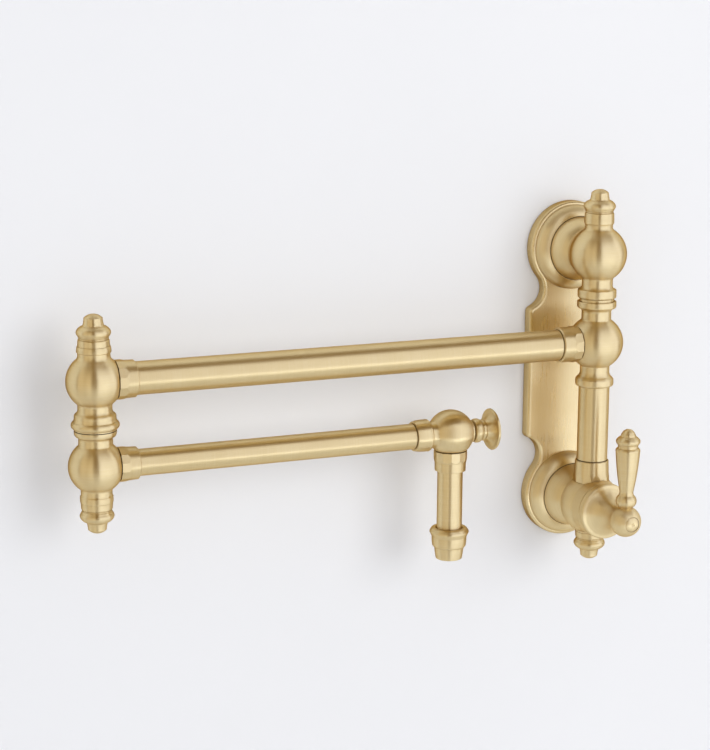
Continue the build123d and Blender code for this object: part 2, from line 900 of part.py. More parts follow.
with BuildPart() as short_tube:
    sleeve(
        rightward(elbow_x, short_arm_rise),
        short_bore,
        short_tube_r,
        elbow_seat,
        short_reach - spout_seat,
    )
pieces["short_tube"] = short_tube

with BuildPart() as upper_elbow_hub:
    top_cut = on_ball(upper_elbow_ball_r, elbow_waist_r + 1.0)
    neck_cut = on_ball(upper_elbow_ball_r, elbow_neck_r + 1.1)
    turn(
        upright(elbow_x, arm_rise),
        [
            (0, elbow_foot),
            (elbow_rim_r, elbow_foot),
            (elbow_rim_r, elbow_foot + 0.7),
            (elbow_bead_r, elbow_bead, 0.6),
            (elbow_skirt_r + 0.5, elbow_bead + 2.4, 0.4),
            (elbow_skirt_r, elbow_skirt, -0.2),
            (elbow_skirt_r - 0.9, elbow_skirt + 1.6, 0.2),
            (elbow_neck_r, elbow_skirt + 4.6, -0.5),
            (elbow_neck_r, -neck_cut - 2.6),
            (elbow_neck_r + 1.1, -neck_cut, -0.4),
            (elbow_waist_r + 1.0, top_cut, (upper_elbow_ball_r, 0)),
            (elbow_waist_r, elbow_waist, -0.3),
            (elbow_waist_r, elbow_waist + 1.4),
            (elbow_band_r, elbow_waist + 1.9, 0.1),
            (elbow_band_r, elbow_band_top),
            (finial_band_r + 0.3, elbow_seat_top, 0.1),
            (0, elbow_seat_top),
        ],
    )
    rod(rightward(elbow_x, arm_rise), upper_elbow_ball_r, upper_flat, upper_elbow_ball_r, Mode.SUBTRACT)
    rod(rightward(elbow_x, arm_rise), hub_passage_r, 0, elbow_seat, Mode.SUBTRACT)
    rod(rightward(elbow_x, arm_rise), long_tube_r + slip, elbow_seat, upper_flat, Mode.SUBTRACT)
    centre = upright(elbow_x, arm_rise)
    rod(centre, spindle_r + running, elbow_foot, elbow_shoulder[0], Mode.SUBTRACT)
    rod(centre, spindle_top_r + running, elbow_shoulder[0], elbow_shoulder[1], Mode.SUBTRACT)
    rod(centre, finial_bore, elbow_shoulder[1], elbow_seat_top, Mode.SUBTRACT)
pieces["upper_elbow_hub"] = upper_elbow_hub

lower_head = arm_drop + elbow_foot - washer_gap  # lower hub's top face above its ball's centre

with BuildPart() as lower_elbow_hub:
    neck_cut = on_ball(lower_elbow_ball_r, elbow_neck_r + 0.7)
    foot_cut = on_ball(lower_elbow_ball_r, lower_neck_r + 1.6)
    turn(
        upright(elbow_x, short_arm_rise),
        [
            (0, lower_foot),
            (lower_band_r - 0.3, lower_foot),
            (lower_band_r, lower_band[0], 0.1),
            (lower_band_r, lower_band[1]),
            (lower_neck_r, lower_band[1] + 1.4, -0.15),
            (lower_neck_r, -foot_cut - 2.0),
            (lower_neck_r + 1.6, -foot_cut, -0.4),
            (elbow_neck_r + 0.7, neck_cut, (lower_elbow_ball_r, 0)),
            (elbow_neck_r, neck_cut + 1.3, -0.2),
            (elbow_neck_r, lower_head - 6.7),
            (elbow_rim_r - 0.9, lower_head - 3.7, -0.8),
            (elbow_rim_r, lower_head - 1.2, 0.2),
            (elbow_rim_r, lower_head),
            (0, lower_head),
        ],
    )
    line = rightward(elbow_x, short_arm_rise)
    rod(line, lower_elbow_ball_r, lower_flat, lower_elbow_ball_r, Mode.SUBTRACT)
    rod(line, short_bore, 0, elbow_seat, Mode.SUBTRACT)
    rod(line, short_tube_r + slip, elbow_seat, lower_flat, Mode.SUBTRACT)
    centre = upright(elbow_x, short_arm_rise)
    rod(centre, spindle_bore, 0, spindle_foot, Mode.SUBTRACT)
    rod(centre, spindle_r + slip, spindle_foot, lower_head, Mode.SUBTRACT)
    rod(centre, finial_bore, lower_foot, lower_foot + finial_spigot + 0.5, Mode.SUBTRACT)
pieces["lower_elbow_hub"] = lower_elbow_hub

with BuildPart() as elbow_spindle:
    centre = upright(elbow_x, arm_rise)
    turn(
        centre,
        [
            (0, spindle_foot - arm_drop),
            (spindle_r, spindle_foot - arm_drop),
            (spindle_r, spindle_waist[0]),
            (spindle_top_r, spindle_waist[0]),
            (spindle_top_r, spindle_waist[1]),
            (spindle_r, spindle_waist[1]),
            (spindle_r, spindle_step),
            (spindle_top_r, spindle_step),
            (spindle_top_r, clip_groove[0]),
            (clip_groove_r, clip_groove[0]),
            (clip_groove_r, clip_groove[1]),
            (spindle_top_r, clip_groove[1]),
            (spindle_top_r, spindle_head),
            (0, spindle_head),
        ],
    )
    rod(centre, spindle_bore, spindle_foot - arm_drop, spindle_waist[1], Mode.SUBTRACT)
    for height in spindle_ring_heights:
        groove(centre, spindle_r, height)
    groove(centre, spindle_top_r, spindle_top_ring_height)
    ports = Plane(origin=(elbow_x, column_y, arm_rise + spindle_port_height), z_dir=(0, 1, 0))
    with BuildSketch(ports):
        Circle(spindle_port_r)
    extrude(amount=spindle_r, both=True, mode=Mode.SUBTRACT)
    with BuildSketch(Plane(origin=ports.origin, z_dir=(1, 0, 0))):
        Circle(spindle_port_r)
    extrude(amount=spindle_r, both=True, mode=Mode.SUBTRACT)
pieces["elbow_spindle"] = elbow_spindle

with BuildPart() as elbow_o_rings:
    add(cord_rings(centre, spindle_r, spindle_ring_heights).part)
    add(cord_rings(centre, spindle_top_r, (spindle_top_ring_height,)).part)
pieces["elbow_o_rings"] = elbow_o_rings

with BuildPart() as elbow_clip:
    sleeve(centre, clip_groove_r + slip, clip_r, clip_groove[0] + slip, clip_groove[1] - slip)
    with BuildSketch(Plane.XY.offset(arm_rise + clip_groove[0])):
        with Locations((elbow_x, column_y - clip_r)):
            Rectangle(clip_mouth, 2 * clip_r)
    extrude(amount=clip_groove[1] - clip_groove[0], mode=Mode.SUBTRACT)
pieces["elbow_clip"] = elbow_clip

with BuildPart() as elbow_thrust_washer:
    sleeve(
        upright(elbow_x, short_arm_rise),
        spindle_r + running,
        washer_r,
        lower_head,
        lower_head + washer_gap - face_gap,
    )
pieces["elbow_thrust_washer"] = elbow_thrust_washer

# ---------------------------------------------------------------- spout

knob_flat = on_ball(spout_ball_r, spout_flat_r)
collar_flat = on_ball(spout_ball_r, spout_collar_r[0] - seam)

with BuildPart() as spout_body:
    right = rightward(spout_x, short_arm_rise)
    left = leftward(spout_x, short_arm_rise)
    down = hanging(spout_x, short_arm_rise)
    neck_cut = on_ball(spout_ball_r, spout_neck_r + 0.6)
    turn(
        left,
        [
            (0, -knob_flat),
            (spout_flat_r, -knob_flat),
            (spout_neck_r + 0.6, neck_cut, (spout_ball_r, 0)),
            (spout_neck_r, spout_neck_out - 1.2, -0.2),
            (spout_neck_r, spout_neck_out),
            (spout_socket_r[0], spout_socket_out[0], -0.2),
            (spout_socket_r[0] + 0.1, spout_socket_out[0] + 1.6, 0.2),
            (spout_socket_r[1], spout_socket_out[1], 0.35),
            (0, spout_socket_out[1]),
        ],
    )
    rod(down, spout_ball_r, collar_flat, spout_ball_r, Mode.SUBTRACT)
    rod(down, short_tube_r, collar_flat - 1.0, collar_flat + spout_nipple)
    rod(left, short_tube_r + slip, spout_seat, spout_socket_out[1], Mode.SUBTRACT)
    rod(left, shutoff_inlet_r, -shutoff_foot - 0.1, spout_seat, Mode.SUBTRACT)
    rod(right, shutoff_thread_r + slip, shutoff_foot, knob_flat, Mode.SUBTRACT)
    rod(down, spout_outlet_r, 0, collar_flat + spout_nipple, Mode.SUBTRACT)
pieces["spout_body"] = spout_body

with BuildPart() as spout_nut:
    top, step_at, foot = (collar_flat + height for height in spout_collar)
    turn(
        down,
        [
            (short_tube_r + slip, top),
            (spout_collar_r[0] - 0.2, top),
            (spout_collar_r[0], top + 0.3),
            (spout_collar_r[0], step_at - spout_run_out),
            (spout_collar_r[0] * flat_round - slip, step_at),
            (spout_collar_r[1], step_at + 0.4, 0.1),
            (spout_collar_r[1] - 0.15, foot - 0.3),
            (spout_collar_r[1] - 0.5, foot, 0.1),
            (short_tube_r + slip, foot),
        ],
    )
    wrench_flats(down, spout_collar_r[0], top, foot, spout_collar_turn)
pieces["spout_collar"] = spout_nut

with BuildPart() as spout_tube:
    sleeve(down, short_bore, short_tube_r, collar_flat + spout_nipple + face_gap, spout_length)
pieces["spout_tube"] = spout_tube

housing_top = spout_length - aerator_socket
bead_foot = housing_top + aerator_bead
band_foot = bead_foot + aerator_band
web_foot = spout_length + face_gap + aerator_web
shell_top = band_foot - aerator_thread
shell_foot = band_foot + shell_length

with BuildPart() as aerator_housing:
    turn(
        down,
        [
            (short_tube_r + slip, spout_length + face_gap),
            (aerator_web_r, spout_length + face_gap),
            (aerator_web_r, web_foot),
            (aerator_thread_r + slip, web_foot),
            (aerator_thread_r + slip, band_foot),
            (aerator_band_r[1] - 0.8, band_foot),
            (aerator_band_r[1], band_foot - 1.2, 0.15),
            (aerator_band_r[0], bead_foot),
            (aerator_bead_r, housing_top + aerator_bead * 0.5, 0.2),
            (aerator_bead_r - 0.8, housing_top + aerator_bead * 0.2, 0.35),
            (aerator_mouth_r, housing_top, 0.1),
            (short_tube_r + 2 * aerator_mouth_cove, housing_top),
            (short_tube_r + slip, housing_top + 2 * aerator_mouth_cove),
        ][::-1],
    )
pieces["aerator_housing"] = aerator_housing

with BuildPart() as aerator_shell:
    turn(
        down,
        [
            (shell_bore, shell_top),
            (aerator_thread_r, shell_top),
            (aerator_thread_r, band_foot + face_gap),
            (shell_r[0], band_foot + face_gap),
            (shell_r[1] + 0.3, shell_foot - 0.8, 0.1),
            (shell_r[1] - 0.3, shell_foot, 0.2),
            (shell_lip_r, shell_foot),
            (shell_lip_r, shell_foot - shell_lip),
            (shell_bore, shell_foot - shell_lip),
        ],
    )
pieces["aerator_shell"] = aerator_shell

mesh_foot = short_arm_rise - shell_foot + shell_lip

with BuildPart() as aerator_mesh:
    with BuildSketch(Plane.XY.offset(mesh_foot)) as weave:
        with Locations((spout_x, column_y)):
            Circle(shell_bore - slip)
            across = int(2 * shell_lip_r / mesh_pitch)
            with GridLocations(mesh_pitch, mesh_pitch, across, across) as grid:
                holes = [
                    spot.position
                    for spot in grid.local_locations
                    if spot.position.length < shell_lip_r - mesh_hole
                ]
            with Locations(*holes):
                Rectangle(mesh_hole, mesh_hole, mode=Mode.SUBTRACT)
    extrude(amount=mesh_thickness)
pieces["aerator_mesh"] = aerator_mesh

insert_foot = shell_foot - shell_lip - mesh_thickness

with BuildPart() as aerator_insert:
    rod(down, shell_bore - slip, insert_foot - insert_height, insert_foot)
    rod(down, insert_bore, insert_foot - insert_height + insert_plate, insert_foot, Mode.SUBTRACT)
    with BuildSketch(Plane.XY.offset(short_arm_rise - insert_foot + insert_height)):
        with Locations((spout_x, column_y)):
            with PolarLocations(insert_bore * 0.65, insert_holes):
                Circle(insert_hole_r)
    extrude(amount=-insert_plate, mode=Mode.SUBTRACT)
pieces["aerator_insert"] = aerator_insert

with BuildPart() as aerator_washer:
    sleeve(down, aerator_web_r, aerator_thread_r, web_foot, shell_top)
pieces["aerator_washer"] = aerator_washer

# ---------------------------------------------------------------- knob

with BuildPart() as knob:
    knob_back = shutoff_thread[1] + shutoff_nose + seam
    ring_top = knob_back + knob_ring
    collar_at = ring_top + knob_groove
    cone_at = collar_at + knob_collar
    rim_at = cone_at + knob_cone
    turn(
        right,
        [
            (0, knob_back),
            (knob_ring_r - knob_swell, knob_back),
            (knob_ring_r - knob_swell, ring_top, knob_swell),
            (knob_groove_r - 0.4, ring_top + knob_groove / 2, -0.1),
            (knob_collar_r - 0.3, collar_at),
            (knob_collar_r - 0.5, cone_at - 0.4, 0.35),
            (knob_cone_r, cone_at, -0.05),
            (knob_rim_r - 0.9, rim_at, -knob_cone_cove),
            (knob_rim_r, rim_at + knob_rim * 0.5, 0.3),
            (knob_rim_r - 1.0, rim_at + knob_rim, 0.3),
            dome(knob_rim_r - 1.0, rim_at + knob_rim, rim_at + knob_rim + knob_dome),
        ],
    )
    rod(right, shutoff_stem_r + slip, knob_back, shutoff_stem_end + face_gap, Mode.SUBTRACT)
    screw_x = knob_back + knob_ring / 2
    screw_down = hanging(spout_x + screw_x, short_arm_rise)
    rod(screw_down, knob_screw_r + slip, 0, knob_ring_r, Mode.SUBTRACT)
pieces["knob"] = knob

with BuildPart() as knob_screw:
    knob_screw_tip = shutoff_stem_r + slip
    rod(screw_down, knob_screw_r, knob_screw_tip, knob_screw_tip + knob_screw_length)
pieces["knob_screw"] = knob_screw

# ---------------------------------------------------------------- lever

lever_plane = outward(0)
ball_out = column_out + lever_out
skirt_back = valve_front_out + seam
skirt_front = skirt_back + skirt_band + skirt_round
handle_flat = on_ball(lever_ball_r, handle_seat_r)
cap_flat = ball_out + on_ball(lever_ball_r, lever_cap_r)
screw_seat = cap_flat - lever_cap_plug - lever_screw_head - 0.6

with BuildPart() as lever_hub:
    neck_cut = ball_out - on_ball(lever_ball_r, lever_neck_r)
    turn(
        lever_plane,
        [
            (0, skirt_back),
            (skirt_r - 0.5, skirt_back),
            (skirt_r, skirt_back + 0.5, 0.15),
            (skirt_r, skirt_back + skirt_band),
            (skirt_r - skirt_round, skirt_front, 0.45),
            (skirt_step_r, skirt_front + 0.3),
            (lever_neck_r, neck_cut, -lever_flare),
            (lever_cap_r, cap_flat, (lever_ball_r, ball_out)),
            (0, cap_flat),
        ],
    )
    hollow_top = skirt_back + skirt_hollow
    rod(lever_plane, skirt_hollow_r, skirt_back, hollow_top, Mode.SUBTRACT)
    rod(lever_plane, stem_r + slip, hollow_top, stem_end + face_gap, Mode.SUBTRACT)
    rod(lever_plane, lever_screw_r + slip, stem_end, screw_seat, Mode.SUBTRACT)
    rod(lever_plane, lever_cap_r + slip, screw_seat, cap_flat, Mode.SUBTRACT)
    handle_line = Plane(origin=(0, -ball_out, 0), x_dir=(1, 0, 0), z_dir=(0, -1, 0))
    rod(handle_line, lever_ball_r, handle_flat, 2 * lever_ball_r, Mode.SUBTRACT)
    rod(handle_line, handle_spigot_r + slip, handle_flat - handle_spigot, handle_flat, Mode.SUBTRACT)
pieces["lever_hub"] = lever_hub

with BuildPart() as lever_handle:
    turn(
        handle_line,
        [
            (0, handle_flat - handle_spigot + 0.3),
            (handle_spigot_r, handle_flat - handle_spigot + 0.3),
            (handle_spigot_r, handle_flat),
            (handle_seat_r, handle_flat),
            (handle_seat_r + 0.6, handle_flat + 1.0, -0.1),
            (handle_neck_r + 0.6, handle_neck - 2.6, (handle_bulb_r, handle_bulb)),
            (handle_neck_r, handle_neck, -0.15),
            (handle_shoulder_r, handle_shoulder, 0.5),
            (handle_groove_r, handle_groove[0], 0.7),
            (handle_groove_r, handle_groove[1]),
            (handle_flange_r, handle_flange, 0.5),
            (handle_cap_r, handle_cap, 0.35),
            (handle_tip_r, handle_tip - handle_dome, 0.2),
            dome(handle_tip_r, handle_tip - handle_dome, handle_tip),
        ],
    )
pieces["lever_handle"] = lever_handle

with BuildPart() as lever_screw:
    rod(lever_plane, lever_screw_r, screw_seat - lever_screw_length, screw_seat)
    rod(lever_plane, lever_screw_head_r, screw_seat, screw_seat + lever_screw_head)
pieces["lever_screw"] = lever_screw

with BuildPart() as lever_cap:
    turn(
        lever_plane,
        [
            (0, cap_flat - lever_cap_plug),
            (lever_cap_r, cap_flat - lever_cap_plug),
            (lever_cap_r, cap_flat - lever_cap_groove),
            (lever_cap_r - lever_cap_groove, cap_flat),
            (lever_cap_dimple_r, cap_flat + lever_cap_crown, 0.3),
            dome(lever_cap_dimple_r, cap_flat + lever_cap_crown, cap_flat + lever_cap_dimple),
        ],
    )
pieces["lever_cap"] = lever_cap

# ---------------------------------------------------------------- write

os.makedirs("parts", exist_ok=True)
for name, piece in pieces.items():
    piece.part.label = name
    export_step(piece.part, f"parts/{name}.step")
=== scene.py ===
import math
from functools import partial

import bmesh
import bpy
from mathutils import Matrix, Vector


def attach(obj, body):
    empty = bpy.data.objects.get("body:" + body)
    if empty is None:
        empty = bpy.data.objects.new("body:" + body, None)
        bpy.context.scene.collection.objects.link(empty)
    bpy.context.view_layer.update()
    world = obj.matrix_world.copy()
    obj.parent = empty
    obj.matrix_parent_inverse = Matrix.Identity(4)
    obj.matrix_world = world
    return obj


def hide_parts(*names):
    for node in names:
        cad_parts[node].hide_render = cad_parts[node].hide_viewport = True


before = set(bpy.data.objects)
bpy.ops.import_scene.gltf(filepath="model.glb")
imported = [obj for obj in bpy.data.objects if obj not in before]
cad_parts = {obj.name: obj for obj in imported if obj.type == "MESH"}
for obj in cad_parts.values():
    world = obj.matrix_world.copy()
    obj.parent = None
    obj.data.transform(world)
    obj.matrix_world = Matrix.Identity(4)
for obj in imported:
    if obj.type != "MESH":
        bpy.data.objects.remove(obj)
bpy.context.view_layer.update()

bl_info = {
    "name": "Wall Pot Filler",
    "version": (1, 0, 0),
    "blender": (4, 5, 0),
    "location": "3D View > Sidebar > Pot Filler",
    "description": "Finishes a wall mounted pot filler in brushed brass and sets up its studio",
    "category": "Object",
}

# Places are in metres from the centre of the supply inlet on the wall: x to the right, y into the wall, z up.

# Turning axes of the pieces
column_out = -0.045
handle_out = -0.095
long_arm_rise = 0.119
short_arm_rise = 0.0625
post_rise = 0.1825
elbow_x = -0.3675
spout_x = -0.113

# Where the upper post's ball gives way to its shank
shank_start = -0.03

# Painted shade lines in the seams round the shanks and the rosettes: radius, width, and how strongly they show
shank_seam = 0.023
rosette_edge = 0.0306
seam_width = 0.0002
shank_seam_strength = 0.7
rosette_edge_strength = 0.4

# Painted shade lines: where a tube leaves a ferrule, socket or collar, at a ferrule's end by its ball, over the
# spout's collar, and between the elbow's two hubs
spout_socket = 0.0288
long_tube_lines = (-0.0306, -0.3536)
short_tube_lines = (spout_x - spout_socket, -0.3527)
collar_line = 0.0507
riser_line = 0.0338
elbow_line = 0.0873
line_width = 0.0007

# How far brushing draws out a highlight, and the quarter turn that it takes on upright pieces
ring_brushing = 0.85
tube_brushing = 0.8
plate_brushing = 0.8
quarter_turn = 0.25

# How much glossier or duller than the rest the plate and the tubes are
plate_duller = -0.08
tube_duller = 0.06

# How strongly the brass's patterns, its painted edge highlight and the painted shade in its seams show in its
# colour, in its gloss and in its relief
broad_tone, fine_tone, edge_highlight_tone, seam_shade_tone = 0.4, 0.35, 0.35, 0.95
fine_gloss, cloud_gloss, broad_gloss, crevice_gloss, seam_gloss = 0.12, 0.08, 0.06, 0.1, 0.4
seam_metal = 0.4
fine_relief, broad_relief = 0.7, 0.3

# How strongly the fine pattern shows in the gloss of steel, and of rubber, plastic and ceramic
steel_gloss, grain_gloss = 0.15, 0.12

# Thin clear lacquer on the brass
lacquer = 0.15
lacquer_roughness = 0.35

# Tool rings on steel
tool_ring_spacing = 0.00018
tool_ring_length = 0.004

# Merging of a copied mesh's doubled points, and how far aside its texture space is set for a level brushing
merge_distance = 1e-7
far_aside = 100

# Wall and floor
wall_y = 0.0003
wall_half_width = 2.5
wall_top = 2.4
floor_front = -3.0

# Lamps: the height and size that the metal's lamps share, the wall's lamp, and the tints
lamp_rise = 0.66
lamp_height = 3.08
wall_lamp_place = (1.7, -3.5, 1.2)
wall_lamp_aim = (-0.15, 0, 0.1)
wall_lamp_size = 2.5
cool, warm, white = (0.92, 1.05, 1.36), (1.0, 0.98, 0.90), (1, 1, 1)

# Brightness of the room where the camera looks past the wall and floor
seen_room = 0.86

# Camera: degrees to the left, above and rolled, and its place
camera_turn, camera_lift, camera_roll = 22.84, 12.01, 0.37
camera_place = (-0.706313, -1.281227, 0.394638)


# Shader sums

class Link:
    """An output socket on which sums add Math nodes."""

    def __init__(self, tree, socket):
        self.tree = tree
        self.socket = socket

    def math(self, operation, *values):
        return self.tree.node("ShaderNodeMath", {"operation": operation}, dict(enumerate(values)))

    def __add__(self, other):
        return self.math("ADD", self, other)

    def __radd__(self, other):
        return self.math("ADD", other, self)

    def __sub__(self, other):
        return self.math("SUBTRACT", self, other)

    def __rsub__(self, other):
        return self.math("SUBTRACT", other, self)

    def __mul__(self, other):
        return self.math("MULTIPLY", self, other)

    def __rmul__(self, other):
        return self.math("MULTIPLY", other, self)

    def __truediv__(self, other):
        return self.math("DIVIDE", self, other)

    def root(self):
        return self.math("SQRT", self)

    def most(self, other):
        return self.math("MAXIMUM", self, other)

    def size(self):
        return self.math("ABSOLUTE", self)

    def rise(self, low, high):
        """0 below low, 1 above high, smooth between them."""
        return self.tree.node("ShaderNodeMapRange", {"interpolation_type": "SMOOTHSTEP"},
                              {"Value": self, "From Min": low, "From Max": high})


class Tree:
    """A node tree that is written as an expression."""

    def __init__(self, owner):
        owner.use_nodes = True
        self.nodes = owner.node_tree.nodes
        self.links = owner.node_tree.links
        self.nodes.clear()

    def node(self, kind, settings=None, sockets=None, out=0):
        """Adds a node and gives its output of this name or number, or a list of outputs for a tuple of them."""
        made = self.nodes.new(kind)
        for key, value in (settings or {}).items():
            setattr(made, key, value)
        for key, value in (sockets or {}).items():
            if isinstance(value, Link):
                self.links.new(value.socket, made.inputs[key])
            else:
                made.inputs[key].default_value = value
        if isinstance(out, tuple):
            return [Link(self, made.outputs[each]) for each in out]
        return Link(self, made.outputs[out])

    def mix(self, factor, first, second):
        """A colour between two colours, which go into the Mix node's sockets 6 and 7 and come out of its third."""
        return self.node("ShaderNodeMix", {"data_type": "RGBA"}, {0: factor, 6: first, 7: second}, out=2)

    def axes(self, vector):
        """The three numbers of a vector."""
        return self.node("ShaderNodeSeparateXYZ", sockets={0: vector}, out=(0, 1, 2))

    def point(self):
        """Object coordinates."""
        return self.node("ShaderNodeTexCoord", out="Object")

    def place(self, centre):
        """Object coordinates measured from a centre."""
        return self.node("ShaderNodeMapping", {"vector_type": "POINT"},
                         {"Vector": self.point(), "Location": [-c for c in centre]})

    def noise(self, vector, scale=1.0, detail=2.0, roughness=0.5):
        return self.node("ShaderNodeTexNoise", {"noise_dimensions": "3D"},
                         {"Vector": vector, "Scale": scale, "Detail": detail, "Roughness": roughness})

    def cover(self, shader):
        """Puts a shader on the material's surface."""
        self.node("ShaderNodeOutputMaterial", sockets={"Surface": shader}, out=())


def fresh_material(name):
    """A new material, in place of an old one of its name, and its empty tree."""
    old = bpy.data.materials.get(name)
    if old:
        bpy.data.materials.remove(old)
    material = bpy.data.materials.new(name)
    return material, Tree(material)


def darker(colour, share):
    """A colour at this share of its brightness."""
    return [c * share for c in colour[:3]] + [1]


def turned_lines(tree, centre, axis, spacing, wander):
    """Fine rings round a turning axis, as a lathe and an abrasive pad leave them."""
    x, y, z = tree.axes(tree.place(centre))
    along, across, up = {"X": (x, y, z), "Y": (y, x, z), "Z": (z, x, y)}[axis]
    out = (across * across + up * up).root()
    slant = 0.7
    return tree.node("ShaderNodeCombineXYZ",
                     sockets={0: along / spacing, 1: out / spacing, 2: (across + up * slant) / wander})


def straight_lines(tree, centre, axis, spacing, wander):
    """Fine scratches that run along one axis."""
    steps = {"X": (wander, spacing, spacing), "Y": (spacing, wander, spacing), "Z": (spacing, spacing, wander)}[axis]
    x, y, z = tree.axes(tree.place(centre))
    return tree.node("ShaderNodeCombineXYZ", sockets={0: x / steps[0], 1: y / steps[1], 2: z / steps[2]})


def shank_shade_ring(tree, rise, radius, strength):
    """Mask of painted shade in a seam: this strength on a thin ring round a line straight out of the wall at this
    height, 0 elsewhere.
    """
    x, y, z = tree.axes(tree.place((0, 0, rise)))
    return strength * (1 - ((x * x + z * z).root() - radius).size().rise(seam_width * 0.6, seam_width))


def shade_line(tree, axis, end):
    """Mask of a painted shade line: 1 on a thin band that stops at this place along an axis, 0 elsewhere."""
    middle = end - line_width / 2
    along = dict(zip("XYZ", tree.axes(tree.place((middle, middle, middle)))))[axis]
    return 1 - along.size().rise(line_width * 0.3, line_width * 0.5)


def brushed_brass(name, lines, centre, axis, anisotropy=0.0, turn=0.0, duller=0.0, seams=()):
    """Satin brass: base colour, brushing, soft edges with a painted highlight, painted shade in the corners and
    near-black painted shade in the seams.
    """
    looks = bpy.context.scene.pot_filler_finish
    material, tree = fresh_material(name)
    spacing, wander = looks.line_spacing, looks.line_length
    vector = lines(tree, centre, axis, spacing, wander)
    fine = tree.noise(vector, detail=3.0, roughness=0.6)
    broad = tree.noise(vector, scale=0.13)
    cloud = tree.noise(tree.point(), scale=55.0, detail=3.0)
    edge = tree.node("ShaderNodeBevel", {"samples": 6}, {"Radius": looks.edge_radius})
    true = tree.node("ShaderNodeNewGeometry", out="True Normal")
    flat = tree.node("ShaderNodeVectorMath", {"operation": "DOT_PRODUCT"}, {0: edge, 1: true}, out="Value")
    # Painted highlight: paler brass on the edges that the bevel finds
    edge_highlight = (1 - flat).rise(low=0.02, high=0.22)
    # Painted shade: darker brass in corners, where ambient occlusion finds them
    hidden = 1 - tree.node("ShaderNodeAmbientOcclusion", {"samples": 8}, {"Distance": looks.corner_reach}, out="AO")
    crevice_shade = hidden.rise(low=0.35, high=0.95)
    colour = tree.mix(cloud.rise(low=0.35, high=0.7), looks.brass[:], looks.brass_warm[:])
    colour = tree.mix(broad.rise(low=0.35, high=0.65) * broad_tone, looks.brass_warm[:], colour)
    colour = tree.mix(fine.rise(low=0.45, high=0.75) * fine_tone, colour, looks.brass_scratch_and_highlight[:])
    colour = tree.mix(crevice_shade * looks.corner_shade, colour, looks.brass_corner_shade[:])
    colour = tree.mix(edge_highlight * edge_highlight_tone, colour, looks.brass_scratch_and_highlight[:])
    # Painted shade: near-black brass where occlusion is deep and on the thin seam lines
    seam_shade_mask = hidden.rise(low=0.82, high=1.0)
    for seam in seams:
        seam_shade_mask = seam_shade_mask.most(seam(tree))
    colour = tree.mix(seam_shade_mask * seam_shade_tone, colour, looks.seam_shade[:])
    rough = looks.roughness + duller + (fine - 0.5) * fine_gloss + (cloud - 0.5) * cloud_gloss
    rough = rough + (broad - 0.5) * broad_gloss + crevice_shade * crevice_gloss + seam_shade_mask * seam_gloss
    height = fine * fine_relief + broad * broad_relief
    bump = tree.node("ShaderNodeBump", sockets={
        "Strength": looks.line_depth, "Distance": spacing / 4, "Height": height, "Normal": edge,
    })
    tree.cover(tree.node("ShaderNodeBsdfPrincipled", sockets={
        "Base Color": colour, "Metallic": 1 - seam_shade_mask * seam_metal, "Roughness": rough, "Normal": bump,
        "Anisotropic": anisotropy, "Anisotropic Rotation": turn, "Specular Tint": looks.brass_edge[:],
        "Coat Weight": lacquer, "Coat Roughness": lacquer_roughness,
    }))
    return material


def plain_metal(name, colour, roughness, centre, axis):
    """Machined steel with fine tool rings."""
    material, tree = fresh_material(name)
    rings = turned_lines(tree, centre, axis, tool_ring_spacing, tool_ring_length)
    fine = tree.noise(rings, detail=3.0, roughness=0.6)
    cloud = tree.noise(tree.point(), scale=160.0, detail=3.0)
    tone = tree.mix(cloud.rise(low=0.3, high=0.7), colour, darker(colour, share=0.82))
    bump = tree.node("ShaderNodeBump", sockets={"Strength": 0.25, "Distance": 0.00005, "Height": fine})
    tree.cover(tree.node("ShaderNodeBsdfPrincipled", sockets={
        "Base Color": tone, "Metallic": 1.0, "Roughness": roughness + (fine - 0.5) * steel_gloss, "Normal": bump,
    }))
    return material


def dull_solid(name, colour, roughness, grain, depth):
    """Rubber, plastic or ceramic: a fine grain and a slight change of tone."""
    material, tree = fresh_material(name)
    point = tree.point()
    fine = tree.noise(point, scale=1 / grain, detail=4.0, roughness=0.6)
    cloud = tree.noise(point, scale=120.0)
    tone = tree.mix(cloud.rise(low=0.3, high=0.7), colour, darker(colour, share=0.8))
    bump = tree.node("ShaderNodeBump", sockets={"Strength": 0.3, "Distance": depth, "Height": fine})
    tree.cover(tree.node("ShaderNodeBsdfPrincipled", sockets={
        "Base Color": tone, "Roughness": roughness + (fine - 0.5) * grain_gloss, "Normal": bump,
    }))
    return material


def merged_copy(node, body, grain, material, centre=(0, 0, 0), second=None, beyond=None):
    """A CAD node's own shape in a mesh of its own, whose texture space turns the gloss with the brushing.

    The gloss follows rings round the texture space's upright axis. Set at a turning axis, that axis gives rings
    round it. Set far off to one side, it gives the same level direction all over the piece. The second material
    goes on the faces whose middle lies beyond a place on the piece.
    """
    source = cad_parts[node].data
    normals = [corner.vector.copy() for corner in source.corner_normals]
    mesh = source.copy()
    mesh.name = node + "_brushed"
    shape = bmesh.new()
    shape.from_mesh(mesh)
    bmesh.ops.remove_doubles(shape, verts=shape.verts, dist=merge_distance)
    shape.to_mesh(mesh)
    shape.free()
    if len(mesh.loops) == len(normals):
        mesh.normals_split_custom_set(normals)
    mesh.use_auto_texspace = False
    mesh.texspace_size = (1, 1, 1)
    mesh.texspace_location = {"X": (0, far_aside, 0), "Y": (far_aside, 0, 0), "Z": centre}[grain]
    mesh.materials.clear()
    mesh.materials.append(material)
    if second:
        mesh.materials.append(second)
        for face in mesh.polygons:
            face.material_index = int(beyond(face.center))
    piece = bpy.data.objects.new(node + "_brushed", mesh)
    bpy.context.scene.collection.objects.link(piece)
    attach(piece, body)
    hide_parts(node)


def dress(material, *nodes):
    """Gives CAD nodes their finish."""
    for name in nodes:
        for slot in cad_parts[name].material_slots:
            slot.material = material


# Sizes and colours

